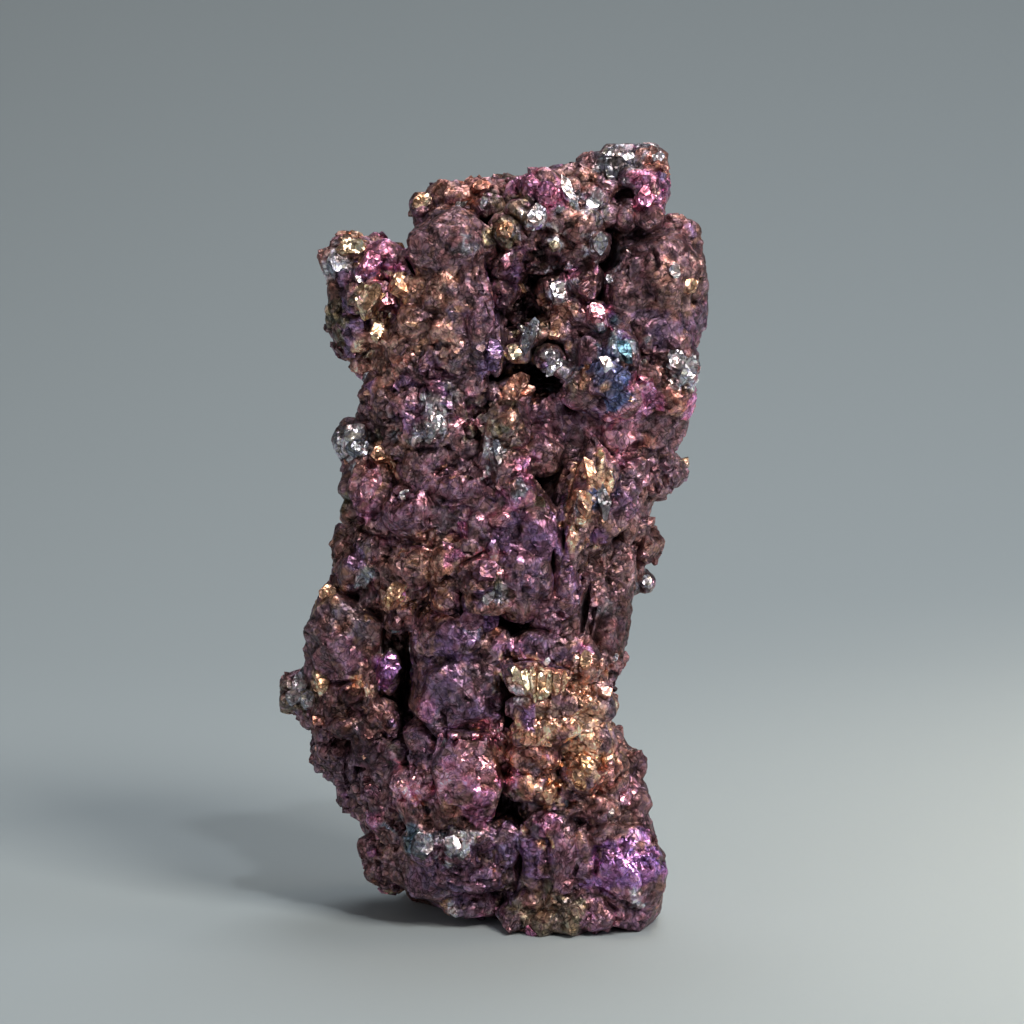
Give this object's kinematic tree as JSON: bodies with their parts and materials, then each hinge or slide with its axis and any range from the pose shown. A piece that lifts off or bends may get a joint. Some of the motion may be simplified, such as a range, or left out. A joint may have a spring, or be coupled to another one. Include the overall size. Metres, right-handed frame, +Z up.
{
  "type": "chalcocite specimen",
  "caption": "Chalcocite hand specimen: an upright clump of intergrown, tarnished metallic crystals that stands on a flat broken foot.",
  "frame": {"origin": "on the ground, at the middle of the bounding box seen from above", "axes": "+Z up along the specimen's length, -Y towards the side in the picture, +X to the picture's right"},
  "size_m": [0.023, 0.014, 0.0418],
  "materials": {
    "tarnished_sulphide": "metallic purple-brown tarnish with bronze, magenta, blue and silver crystals"
  },
  "bodies": {
    "root": {"chalcocite": "tarnished_sulphide"}
  },
  "joints": []
}
